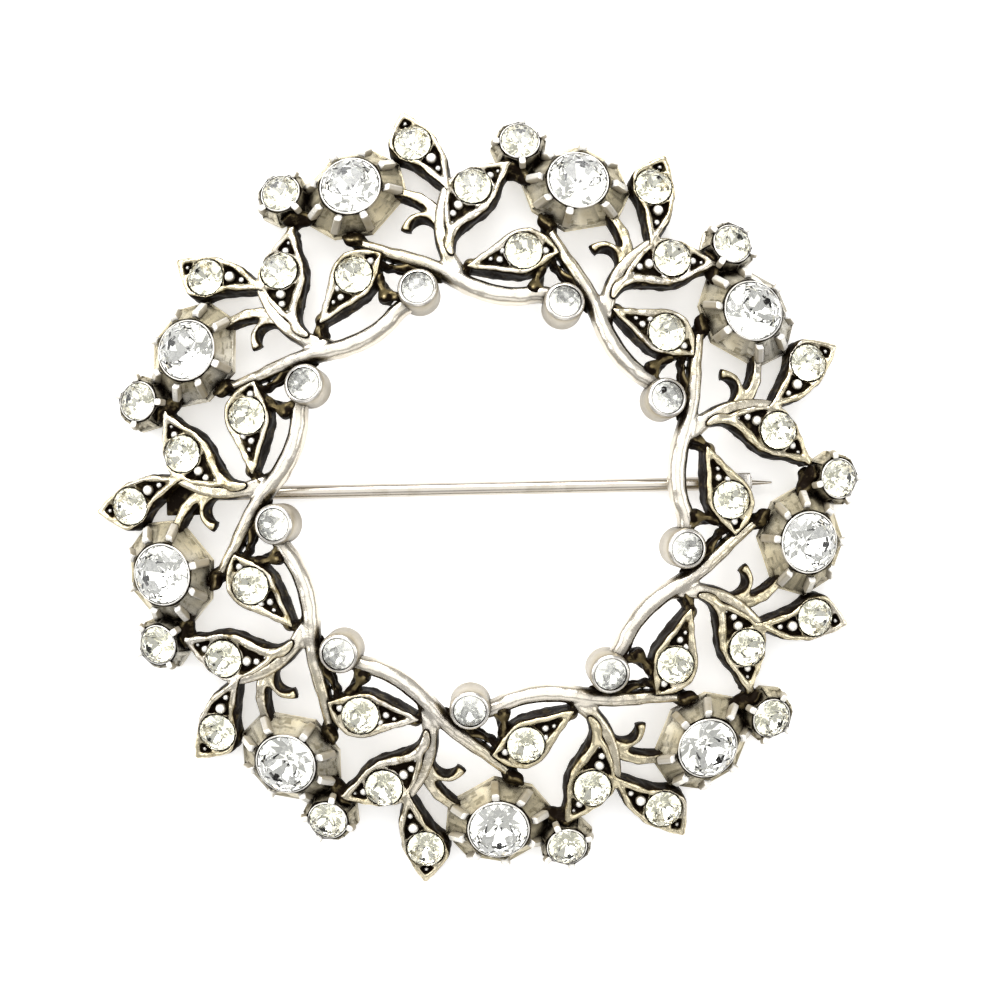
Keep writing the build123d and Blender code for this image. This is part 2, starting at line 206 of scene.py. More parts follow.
class Metalwork:
    """A bmesh in millimetres with the few forms that a caster and a mounter use.

    A bar's sides spread by DRAFT, a share of their depth, down to its back. Corners lower than BACK, a share
    of its width, are its back's. Points nearer than MERGED are one.
    """

    DRAFT = 0.14
    BACK = -0.05
    MERGED = 1e-4

    def __init__(self) -> None:
        self.bm = bmesh.new()

    def bar(
        self, path: Sequence[Vector], normal: Callable[[Vector], Vector], shift: float = 0.0, sides: int = 12
    ) -> None:
        """A bar with a half-round top and slightly spreading sides along a path.

        Args:
            path: Points of five columns: the middle of the half-round's top, then width, then depth.
            normal: Gives the direction off the front at a point.
            shift: How far the bar lies to the right of its path, as a share of its width.
            sides: Corners of the section.
        """
        last = len(path) - 1
        rings = []
        for number, key in enumerate(path):
            point = Vector(key[:3])
            width, depth = key[3], key[4]
            along = Vector(path[min(number + 1, last)][:3]) - Vector(path[max(number - 1, 0)][:3])
            front = normal(point)
            side = along.cross(front).normalized()
            front = side.cross(along).normalized()
            centre = point - front * width / 2 + side * shift * width
            section = matrix_of(side * width / 2, front * width / 2, along.normalized(), centre)
            made = bmesh.ops.create_circle(
                self.bm, cap_ends=number in (0, last), segments=sides, radius=1, matrix=section
            )
            drop = max(depth - width, 0)
            for vert in made["verts"]:
                offset = vert.co - centre
                if offset.dot(front) < self.BACK * width:
                    vert.co += side * (offset.dot(side) * 2 / width * drop * self.DRAFT) - front * drop
            rings.append(edges_of(made["verts"]))
        for ring, following in zip(rings, rings[1:]):
            bmesh.ops.bridge_loops(self.bm, edges=ring + following)

    def plate(self, outline: Sequence[Vector], seat: Matrix, top: float, bottom: float) -> None:
        """A flat plate from its outline.

        Args:
            outline: The outline's points in the seat's plane.
            seat: The plane.
            top: Height of the plate's top over the plane.
            bottom: Height of its underside.
        """
        verts = [self.bm.verts.new(seat @ (point + UP * top)) for point in outline]
        face = self.bm.faces.new(verts)
        made = bmesh.ops.extrude_face_region(self.bm, geom=[face], use_keep_orig=True)
        moved = [item for item in made["geom"] if isinstance(item, bmesh.types.BMVert)]
        front = seat.to_3x3() @ UP
        bmesh.ops.translate(self.bm, verts=moved, vec=front * (bottom - top))

    def drum(
        self, seat: Matrix, low: float, high: float, bottom: float, top: float, sides: int = 40
    ) -> None:
        """A round drum or cone on a plane's axis.

        Args:
            seat: The plane.
            low: Radius at its bottom.
            high: Radius at its top.
            bottom: Height of its bottom over the plane.
            top: Height of its top.
            sides: Sides round it.
        """
        middle = seat @ Matrix.Translation((0, 0, (bottom + top) / 2))
        sizes = {"radius1": low, "radius2": high, "depth": top - bottom}
        bmesh.ops.create_cone(self.bm, cap_ends=True, segments=sides, matrix=middle, **sizes)

    def lathe(self, seat: Matrix, profile: Sequence[tuple[float, float]], sides: int = 56) -> None:
        """A turned form: a profile spun round a plane's axis.

        Args:
            seat: The plane whose Z is the axis.
            profile: Radius and height of each corner, from the axis back to the axis.
            sides: Steps round it.
        """
        verts = [self.bm.verts.new(seat @ Vector((radius, 0, height))) for radius, height in profile]
        edges = [self.bm.edges.new(pair) for pair in zip(verts, verts[1:])]
        turn = {"cent": seat.translation, "axis": seat.to_3x3() @ UP, "angle": math.tau, "steps": sides}
        bmesh.ops.spin(self.bm, geom=[*verts, *edges], use_merge=True, **turn)
        bmesh.ops.remove_doubles(self.bm, verts=self.bm.verts, dist=self.MERGED)

    def block(self, seat: Matrix, size: Vector, rounding: float) -> None:
        """A pillow-edged block in the middle of a plane.

        Args:
            seat: The plane.
            size: Its width, length and height.
            rounding: Radius of its edges.
        """
        made = bmesh.ops.create_cube(self.bm, size=1, matrix=seat @ Matrix.Diagonal((*size, 1)))
        shape = {"offset": rounding, "segments": 3, "profile": 0.5, "affect": "EDGES", "material": -1}
        bmesh.ops.bevel(self.bm, geom=edges_of(made["verts"]), **shape)

    def finish(self, name: str, smooth_under: float = 40.0) -> bpy.types.Mesh:
        """Turns the metalwork into a mesh.

        Args:
            name: The mesh's name.
            smooth_under: Angle in degrees up to which an edge is shaded smooth.

        Returns:
            The mesh, in millimetres.
        """
        bmesh.ops.recalc_face_normals(self.bm, faces=self.bm.faces)
        mesh = bpy.data.meshes.new(name)
        self.bm.to_mesh(mesh)
        self.bm.free()
        mesh.shade_smooth()
        mesh.set_sharp_from_angle(angle=math.radians(smooth_under))
        return mesh


@dataclass(frozen=True)
class StoneSeat:
    """The pit that a stone sits in: sizes in millimetres, heights over the plane it is measured from."""

    diameter: float
    girdle: float
    pavilion_share: float = 0.37
    clearance: float = 0.05

    @property
    def rim(self) -> float:
        """The pit's radius."""
        return self.diameter / 2 + self.clearance

    def pit(self, radius: float) -> float:
        """Height of the pit's wall at a radius from the stone's axis."""
        pavilion = self.pavilion_share * self.diameter * (1 - radius / self.rim)
        return self.girdle - self.clearance - pavilion

    def press(self, bm: bmesh.types.BMesh, seat: Matrix) -> None:
        """Presses the pit into a casting.

        Args:
            bm: The casting, in millimetres.
            seat: The plane that the stone's heights are measured from.
        """
        back = seat.inverted()
        for vert in bm.verts:
            point = back @ vert.co
            radius = math.hypot(point.x, point.y)
            if radius < self.rim and point.z > self.pit(radius):
                point.z = self.pit(radius)
                vert.co = seat @ point


@dataclass(frozen=True)
class Melt:
    """How overlapping forms become one casting, with its cells and the depth of its dents in millimetres."""

    cell: float
    dent: float
    dents_a_mm: float = 1.4
    polishes: int = 4
    smoothing: float = 0.5

    def voxels(self, mesh: bpy.types.Mesh) -> bpy.types.Mesh:
        """Wraps forms in one skin of cells.

        Args:
            mesh: The closed forms, which are used up.

        Returns:
            The skin.
        """
        holder = add_object(mesh.name, mesh)
        remesh = holder.modifiers.new("melt", "REMESH")
        remesh.mode = "VOXEL"
        remesh.voxel_size = self.cell
        shaped = bpy.data.meshes.new_from_object(holder.evaluated_get(bpy.context.evaluated_depsgraph_get()))
        bpy.data.objects.remove(holder)
        bpy.data.meshes.remove(mesh)
        return shaped

    def cast(self, mesh: bpy.types.Mesh, seats: Iterable[tuple[StoneSeat, Matrix]]) -> bpy.types.Mesh:
        """Melts the forms, polishes and dents their skin and presses the stones' seats into it.

        Args:
            mesh: The closed forms, in millimetres, which are used up.
            seats: The stone seats, each with its plane.

        Returns:
            One closed, smooth mesh with its back cut off level with the table.
        """
        shaped = self.voxels(mesh)
        bm = bmesh.new()
        bm.from_mesh(shaped)
        axes = {"use_axis_x": True, "use_axis_y": True, "use_axis_z": True}
        for _ in range(self.polishes):
            bmesh.ops.smooth_vert(bm, verts=bm.verts, factor=self.smoothing, **axes)
        bm.normal_update()
        for vert in bm.verts:
            vert.co += vert.normal * self.dent * noise.noise(self.dents_a_mm * vert.co)
        for pit, seat in seats:
            pit.press(bm, seat)
        lift_to_table(bm)
        bm.to_mesh(shaped)
        bm.free()
        shaped.shade_smooth()
        return shaped


def add_object(name: str, data: bpy.types.ID) -> bpy.types.Object:
    """Adds an object to the scene.

    Args:
        name: Its name.
        data: Its mesh, camera or light.

    Returns:
        The object.
    """
    made = bpy.data.objects.new(name, data)
    bpy.context.scene.collection.objects.link(made)
    return made


def lift_to_table(bm: bmesh.types.BMesh) -> None:
    """Cuts a form off level with the table."""
    for vert in bm.verts:
        vert.co.z = max(vert.co.z, 0)


def place(name: str, mesh: bpy.types.Mesh, where: Matrix, materials: Iterable[bpy.types.Material]) -> None:
    """Puts a copy of a mesh in its place on the brooch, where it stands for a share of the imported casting.

    Args:
        name: The piece's name.
        mesh: The mesh to copy, in millimetres.
        where: Its place, in millimetres.
        materials: Its materials, in the order of its faces' indices.
    """
    own = mesh.copy()
    own.name = name
    own.transform(Matrix.Scale(MM, 4) @ where)
    for material in materials:
        own.materials.append(material)
    piece = add_object(name, own)
    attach(piece, BODY)
    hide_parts(CASTING)


class Bead(NamedTuple):
    """A grain of metal on a leaf's floor, and its radius in millimetres."""

    spot: Spot
    radius: float


class Edge(NamedTuple):
    """A place on a leaf's edge, and the width of its rim there in millimetres."""

    reach: float
    turn: float
    rim: float


@dataclass(frozen=True)
class Leaf:
    """A cast leaf: a raised rim on each side, and a sunken floor with a stone and some grains."""

    left: tuple[Edge, ...]
    right: tuple[Edge, ...]
    stone: Spot
    beads: tuple[Bead, ...]
    depth: float = 1.6
    recess: float = 0.5
    collar_radius: float = 1.27
    collar_drop: float = 0.14
    pit: StoneSeat = StoneSeat(2.3, -0.12)
    steps: int = 5
    rim_corners: int = 8
    bead_rise: float = 0.8

    def seat(self, dome: Dome) -> Matrix:
        """The plane of the leaf's rim, under the middle of its stone."""
        return dome.seat(self.stone, self.depth)

    def cast(self, work: Metalwork, dome: Dome) -> None:
        """Adds the leaf's floor, rims and stone collar.

        Args:
            work: What the leaf is added to.
            dome: The dome that it lies on.
        """
        seat = self.seat(dome)
        front = seat.to_3x3() @ UP
        sides = []
        for edges, inward in ((self.left, 0.5), (self.right, -0.5)):
            keys = []
            for edge in edges:
                point = seat @ dome.on_seat(seat, Spot(edge.reach, edge.turn), self.depth)
                keys.append(Vector((*point, edge.rim, self.depth)))
            path = smooth_path(keys, self.steps)
            work.bar(path, lambda _point: front, inward, self.rim_corners)
            sides.append([seat.inverted() @ Vector(key[:3]) for key in path])
        outline = sides[0] + sides[1][-2:0:-1]
        work.plate(outline, seat, -self.recess, -self.depth)
        work.drum(seat, self.collar_radius, self.collar_radius, -self.depth, -self.collar_drop, sides=32)

    def grains(self, work: Metalwork, dome: Dome) -> None:
        """Adds the leaf's grains, each a little proud of the floor.

        Args:
            work: What they are added to.
            dome: The dome that the leaf lies on.
        """
        seat = self.seat(dome)
        for bead in self.beads:
            spot = dome.on_seat(seat, bead.spot, self.depth)
            rise = self.bead_rise * bead.radius - self.recess
            middle = Matrix.Translation(seat @ (spot + UP * rise))
            bmesh.ops.create_icosphere(work.bm, subdivisions=2, radius=bead.radius, matrix=middle)


class Key(NamedTuple):
    """A place that a bough passes, and its width and depth there in millimetres."""

    reach: float
    turn: float
    width: float
    depth: float


@dataclass(frozen=True)
class Bough:
    """A vine, stem, twig or tendril that lies on the dome, as one strand or as two side by side.

    Each strand is its distance to the right of the keys, as a share of their width.
    """

    keys: tuple[Key, ...]
    strands: tuple[float, ...] = (0.0,)
    lift: float = 0.12
    steps: int = 8

    def cast(self, work: Metalwork, dome: Dome) -> None:
        """Adds the bough to the casting.

        Args:
            work: What it is added to.
            dome: The dome that it lies on.
        """
        keys = []
        for key in self.keys:
            top = dome.seat(Spot(key.reach, key.turn), self.lift + key.depth).translation
            keys.append(Vector((*top, key.width, key.depth)))
        for strand in self.strands:
            work.bar(smooth_path(keys, self.steps), dome.normal, strand)


LEAVES = (
    Leaf(
        left=(
            Edge(0.77, 0.43, 0.16), Edge(0.803, 0.375, 0.42), Edge(0.836, 0.33, 0.42),
            Edge(0.861, 0.28, 0.36), Edge(0.885, 0.237, 0.28), Edge(0.913, 0.212, 0.28),
            Edge(0.94, 0.225, 0.34), Edge(0.97, 0.255, 0.4), Edge(1.0, 0.29, 0.4),
        ),
        right=(
            Edge(0.77, 0.43, 0.16), Edge(0.808, 0.441, 0.42), Edge(0.85, 0.441, 0.44),
            Edge(0.885, 0.424, 0.38), Edge(0.917, 0.402, 0.3), Edge(0.948, 0.366, 0.34),
            Edge(0.978, 0.327, 0.4), Edge(1.0, 0.29, 0.4),
        ),
        stone=Spot(0.908, 0.308),
        beads=(
            Bead(Spot(0.966, 0.293), 0.17), Bead(Spot(0.86, 0.374), 0.36), Bead(Spot(0.832, 0.398), 0.22),
            Bead(Spot(0.812, 0.412), 0.15),
        ),
    ),
    Leaf(
        left=(
            Edge(0.6, 0.415, 0.14), Edge(0.65, 0.4, 0.4), Edge(0.7, 0.395, 0.4), Edge(0.748, 0.41, 0.36),
            Edge(0.785, 0.435, 0.3), Edge(0.814, 0.475, 0.28), Edge(0.829, 0.55, 0.32),
            Edge(0.838, 0.625, 0.38), Edge(0.852, 0.72, 0.42),
        ),
        right=(
            Edge(0.6, 0.415, 0.14), Edge(0.632, 0.432, 0.66), Edge(0.664, 0.478, 0.72),
            Edge(0.69, 0.55, 0.6), Edge(0.722, 0.625, 0.42), Edge(0.757, 0.668, 0.36), Edge(0.8, 0.69, 0.4),
            Edge(0.852, 0.72, 0.42),
        ),
        stone=Spot(0.777, 0.548),
        beads=(
            Bead(Spot(0.73, 0.475), 0.32), Bead(Spot(0.71, 0.444), 0.25), Bead(Spot(0.684, 0.432), 0.2),
            Bead(Spot(0.807, 0.628), 0.26), Bead(Spot(0.821, 0.663), 0.16),
        ),
    ),
    Leaf(
        left=(
            Edge(0.652, 0.03, 0.14), Edge(0.628, -0.01, 0.42), Edge(0.602, -0.055, 0.46),
            Edge(0.582, -0.105, 0.4), Edge(0.573, -0.16, 0.34), Edge(0.569, -0.23, 0.46),
            Edge(0.569, -0.32, 0.5), Edge(0.573, -0.41, 0.4), Edge(0.583, -0.51, 0.14),
        ),
        right=(
            Edge(0.652, 0.03, 0.14), Edge(0.674, -0.03, 0.42), Edge(0.69, -0.09, 0.42),
            Edge(0.694, -0.145, 0.34), Edge(0.69, -0.21, 0.36), Edge(0.672, -0.275, 0.5),
            Edge(0.646, -0.34, 0.6), Edge(0.615, -0.42, 0.5), Edge(0.583, -0.51, 0.14),
        ),
        stone=Spot(0.633, -0.172),
        beads=(
            Bead(Spot(0.645, -0.052), 0.27), Bead(Spot(0.628, -0.292), 0.24),
            Bead(Spot(0.604, -0.305), 0.24), Bead(Spot(0.606, -0.36), 0.17),
        ),
    ),
)

BOUGHS = (
    Bough(
        (
            Key(0.742, -0.1, 0.56, 0.8), Key(0.698, -0.05, 0.62, 1.2), Key(0.65, 0.06, 0.84, 1.32),
            Key(0.623, 0.15, 0.92, 1.37), Key(0.597, 0.24, 0.96, 1.4), Key(0.573, 0.33, 1.04, 1.42),
            Key(0.548, 0.42, 1.16, 1.45), Key(0.524, 0.52, 1.2, 1.45), Key(0.509, 0.63, 1.18, 1.45),
            Key(0.503, 0.76, 1.16, 1.45), Key(0.51, 0.88, 1.14, 1.42), Key(0.523, 0.98, 1.08, 1.4),
            Key(0.528, 1.04, 1.04, 1.38), Key(0.528, 1.09, 1.0, 1.36),
        )
    ),
    Bough(
        (
            Key(0.525, 0.49, 0.7, 0.7), Key(0.55, 0.45, 0.7, 1.2), Key(0.575, 0.42, 0.66, 1.34),
            Key(0.61, 0.39, 0.58, 1.38), Key(0.655, 0.372, 0.54, 1.4), Key(0.7, 0.376, 0.5, 1.42),
            Key(0.74, 0.396, 0.44, 1.42), Key(0.785, 0.432, 0.38, 1.42),
        ),
        strands=(-0.3, 0.3),
    ),
)

TWIGS = (
    Bough(
        (
            Key(0.685, 0.385, 0.44, 1.25), Key(0.73, 0.35, 0.42, 1.3), Key(0.765, 0.285, 0.36, 1.3),
            Key(0.79, 0.21, 0.36, 1.2), Key(0.805, 0.15, 0.4, 1.1),
        ),
        strands=(-0.45, 0.45),
    ),
    Bough(
        (
            Key(0.65, 0.385, 0.44, 1.2), Key(0.685, 0.362, 0.52, 1.28), Key(0.711, 0.32, 0.52, 1.3),
            Key(0.72, 0.265, 0.48, 1.3), Key(0.71, 0.215, 0.46, 1.3), Key(0.688, 0.188, 0.6, 1.25),
        )
    ),
)

SOLDER = (
    Bough(
        (
            Key(0.638, -0.03, 0.36, 0.95), Key(0.606, 0.07, 0.56, 1.05), Key(0.587, 0.15, 0.6, 1.05),
            Key(0.57, 0.24, 0.5, 1.0), Key(0.556, 0.34, 0.36, 0.9),
        )
    ),
    Bough(
        (
            Key(0.604, -0.07, 0.5, 1.1), Key(0.572, -0.06, 0.86, 1.42), Key(0.55, -0.045, 0.95, 1.52),
            Key(0.537, 0.0, 0.8, 1.5), Key(0.53, 0.04, 0.6, 1.2),
        )
    ),
    Bough(
        (
            Key(0.604, -0.44, 0.4, 1.25), Key(0.592, -0.49, 0.8, 1.45), Key(0.572, -0.54, 0.8, 1.4),
            Key(0.548, -0.58, 0.5, 1.1),
        )
    ),
    Bough(
        (
            Key(0.868, -0.33, 0.4, 1.2), Key(0.846, -0.285, 0.86, 1.58), Key(0.832, -0.235, 0.8, 1.3),
            Key(0.81, -0.17, 0.5, 0.9),
        )
    ),
    Bough((Key(0.742, -0.13, 0.5, 0.9), Key(0.718, -0.085, 0.85, 1.3), Key(0.69, -0.05, 0.5, 1.25))),
)


@dataclass(frozen=True)
class Cup:
    """A faceted cup with a claw down some of its ridges, and a thin collar round its stone.

    Sizes are in millimetres, and angles in degrees anticlockwise from the spray's clockwise side.
    """

    spot: Spot
    lift: float
    lean: float
    skirt_radius: float
    skirt_shape: tuple[float, float]
    skirt_shift: float
    mouth_radius: float
    height: float
    band: float
    corners: tuple[float, ...]
    clawed: tuple[float, ...]
    claw_size: Vector
    claw_share: float
    stone_radius: float
    pit_depth: float
    pit_share: float = 0.2
    claw_rounding: float = 0.13
    collar_width: float = 0.12
    collar_gap: float = 0.01
    collar_rise: float = 0.09
    collar_sink: float = 0.15
    collar_edge: float = 0.04
    wall: float = 0.12
    groove: float = 0.11
    strips: int = 7
    strip_stretch: float = 0.2
    dent: float = 0.1
    foot_shares: tuple[float, float] = (0.66, 0.6)
    foot_drop: float = -0.4
    foot_rise: float = 0.2
    level: float = 0.01
    smooth_under: float = 12.0

    def foot(self, work: Metalwork, dome: Dome) -> None:
        """Adds the lump of metal that the cup stands on."""
        seat = dome.seat(self.spot, self.lift, self.lean)
        low, high = (share * self.skirt_radius for share in self.foot_shares)
        work.drum(seat, low, high, self.foot_drop * self.lift, self.foot_rise * self.height)

    def skirt_point(self, angle: float, height: float) -> Vector:
        """A point on the skirt's edge, which is a little oval and off the stone's axis."""
        x, y, _level = ring_point(self.skirt_radius, angle)
        return Vector((self.skirt_shape[0] * x, self.skirt_shape[1] * y + self.skirt_shift, height))

    def pleat(self, bm: bmesh.types.BMesh, edges: list[bmesh.types.BMEdge]) -> None:
        """Splits the skirt's panels into narrow hammered strips, and raises each panel between its corners.

        The strips take their dents in the order of their places, so that every run gives the same cup.

        Args:
            bm: The cup.
            edges: The upper and lower edges of its panels.
        """
        hammer = random.Random(7)
        sided = [face for face in bm.faces if len(face.verts) == 4]
        panels = [face for face in sided if sum(edge in edges for edge in face.edges) == 2]
        bmesh.ops.inset_individual(bm, faces=panels, thickness=self.groove, depth=self.groove)
        sides = [edge for face in panels for edge in face.edges]
        across = [edge for edge in sides if abs(edge.verts[0].co.z - edge.verts[1].co.z) < 0.5 * self.groove]
        made = bmesh.ops.subdivide_edges(bm, edges=across, cuts=self.strips - 1, use_grid_fill=True)
        fresh = [item for item in made["geom_inner"] if isinstance(item, bmesh.types.BMVert)]
        for vert in sorted(fresh, key=lambda vert: vert.co[:]):
            outward = Vector((vert.co.x, vert.co.y, 0)).normalized()
            vert.co += outward * hammer.uniform(-self.dent, self.dent)

    def panels(self, bm: bmesh.types.BMesh) -> None:
        """Raises the band and the panels from the skirt's edge to the mouth.

        Args:
            bm: The empty cup, on a level plane.
        """
        angles = sorted(self.corners)
        made = bmesh.ops.create_circle(bm, cap_ends=True, segments=len(angles), radius=1)
        corners = list(zip(made["verts"], angles))
        for vert, angle in corners:
            vert.co = self.skirt_point(angle, -self.band)
        ring = list(bm.edges)
        for point in (
            lambda angle: self.skirt_point(angle, 0),
            lambda angle: ring_point(self.mouth_radius, angle, self.height),
        ):
            skirt = ring
            made = bmesh.ops.extrude_edge_only(bm, edges=ring)
            verts = {item for item in made["geom"] if isinstance(item, bmesh.types.BMVert)}
            corners = [
                (edge.other_vert(vert), angle)
                for vert, angle in corners
                for edge in vert.link_edges
                if edge.other_vert(vert) in verts
            ]
            for vert, angle in corners:
                vert.co = point(angle)
            ring = [item for item in made["geom"] if isinstance(item, bmesh.types.BMEdge)]
            ring = [edge for edge in ring if all(vert in verts for vert in edge.verts)]
        bmesh.ops.holes_fill(bm, edges=ring)
        self.pleat(bm, skirt + ring)

    def hollow(self, bm: bmesh.types.BMesh) -> None:
        """Sinks the mouth into a pit, and writes each strip's bearing and height to the UV map.

        Args:
            bm: The cup, on a level plane.
        """
        mouth = [face for face in bm.faces if face.calc_center_median().z > self.height - self.level]
        bmesh.ops.inset_region(bm, faces=mouth, thickness=self.wall, depth=0)
        for vert in {vert for face in mouth for vert in face.verts}:
            x, y, _height = self.pit_share * vert.co
            vert.co = Vector((x, y, self.height - self.pit_depth))
        strips = bm.loops.layers.uv.new(STRIPS)
        for face in bm.faces:
            middle = face.calc_center_median()
            for loop in face.loops:
                loop[strips].uv = (math.atan2(middle.y, middle.x), self.strip_stretch * loop.vert.co.z)

    def collar(self, work: Metalwork, seat: Matrix) -> None:
        """Adds the thin collar round the stone.

        Args:
            work: The cup.
            seat: The plane that it stands on.
        """
        outer = self.stone_radius + self.collar_width
        inner = self.stone_radius + self.collar_gap
        top = self.height + self.collar_rise
        foot = self.height - self.collar_sink
        edge = self.collar_edge
        outside = ((outer + edge / 2, foot), (outer, top - edge), (outer - edge, top))
        inside = ((inner + 0.75 * edge, top), (inner, top - edge), (inner, foot))
        work.lathe(seat, (*outside, *inside, outside[0]))

    def claws(self, work: Metalwork, seat: Matrix) -> None:
        """Adds a claw down each clawed ridge.

        Args:
            work: The cup.
            seat: The plane that it stands on.
        """
        for angle in self.clawed:
            upper = ring_point(self.mouth_radius, angle, self.height)
            lower = self.skirt_point(angle, 0)
            ridge = (lower - upper).normalized()
            across = ring_point(1, angle + 90)
            middle = upper.lerp(lower, self.claw_share)
            where = seat @ matrix_of(across, ridge, across.cross(ridge), middle)
            work.block(where, self.claw_size, self.claw_rounding)

    def forge(self, dome: Dome, name: str) -> bpy.types.Mesh:
        """Models the cup.

        Args:
            dome: The dome that it stands on.
            name: The mesh's name.

        Returns:
            The mesh in the unit spray's place. Its collar's and claws' faces have index 1.
        """
        seat = dome.seat(self.spot, self.lift, self.lean)
        work = Metalwork()
        self.panels(work.bm)
        self.hollow(work.bm)
        bmesh.ops.transform(work.bm, matrix=seat, verts=work.bm.verts)
        cup_faces = len(work.bm.faces)
        self.collar(work, seat)
        self.claws(work, seat)
        lift_to_table(work.bm)
        work.bm.faces.ensure_lookup_table()
        for face in work.bm.faces[cup_faces:]:
            face.material_index = 1
        return work.finish(name, self.smooth_under)


FLOWER_CUP = Cup(
    spot=Spot(0.812, 0.008),
    lift=0.55,
    lean=4.0,
    skirt_radius=3.2,
    skirt_shape=(1.08, 0.93),
    skirt_shift=0.4,
    mouth_radius=2.15,
    height=1.85,
    band=0.4,
    corners=(97, 52, 14, -27, -88, -130, -168, 150),
    clawed=(97, 52, 14, -27, -88, -130, -168, 150),
    claw_size=Vector((0.5, 1.5, 0.58)),
    claw_share=0.36,
    stone_radius=1.8,
    pit_depth=1.6,
)

BERRY_CUP = Cup(
    spot=Spot(0.889, -0.262),
    lift=0.4,
    lean=5.0,
    skirt_radius=1.82,
    skirt_shape=(1.0, 1.0),
    skirt_shift=0.35,
    mouth_radius=1.48,
    height=1.5,
    band=0.35,
    corners=(90, 25, -30, -78, -130, 187, 140),
    clawed=(90, 25, -78, 187),
    claw_size=Vector((0.42, 0.78, 0.5)),
    claw_share=0.1,
    stone_radius=1.15,
    pit_depth=1.1,
    collar_width=0.1,
)


@dataclass(frozen=True)
class Collet:
    """A plain tube with its lip rubbed over the stone's edge."""

    spot: Spot = Spot(0.515, 0.16)
    lean: float = 4.0
    radius: float = 1.27
    height: float = 2.0
    lip_radius: float = 0.97
    lip_depth: float = 0.3
    line: float = 0.06
    foot_inset: float = 0.1
    foot_low: float = 0.15
    foot_high: float = 0.8

    def foot(self, work: Metalwork, dome: Dome) -> None:
        """Adds the lump of metal inside the collet's lower end."""
        radius = self.radius - self.foot_inset
        work.drum(dome.seat(self.spot, 0.0, self.lean), radius, radius, self.foot_low, self.foot_high)

    def forge(self, dome: Dome, name: str) -> bpy.types.Mesh:
        """Models the collet.

        Args:
            dome: The dome that it stands on.
            name: The mesh's name.

        Returns:
            The mesh in the unit spray's place; the near-black ring inside its lip has index 1.
        """
        seat = dome.seat(self.spot, 0.0, self.lean)
        work = Metalwork()
        outer, inner, top = self.radius, self.lip_radius, self.height
        tube = ((0, 0), (outer - 0.08, 0), (outer - 0.02, 0.08), (outer, top - 0.35))
        rubbed = ((outer - 0.02, top - 0.18), (outer - 0.09, top - 0.06), (outer - 0.17, top))
        lip = ((inner + self.line, top + 0.01), (inner, top - 0.06), (inner, top - 0.25), (0, top - 1.1))
        work.lathe(seat, (*tube, *rubbed, *lip))
        back = seat.inverted()
        for face in work.bm.faces:
            middle = back @ face.calc_center_median()
            radius = math.hypot(middle.x, middle.y)
            near_lip = abs(radius - inner) < self.line and middle.z > top - self.lip_depth
            face.material_index = int(near_lip)
        return work.finish(name, 50)


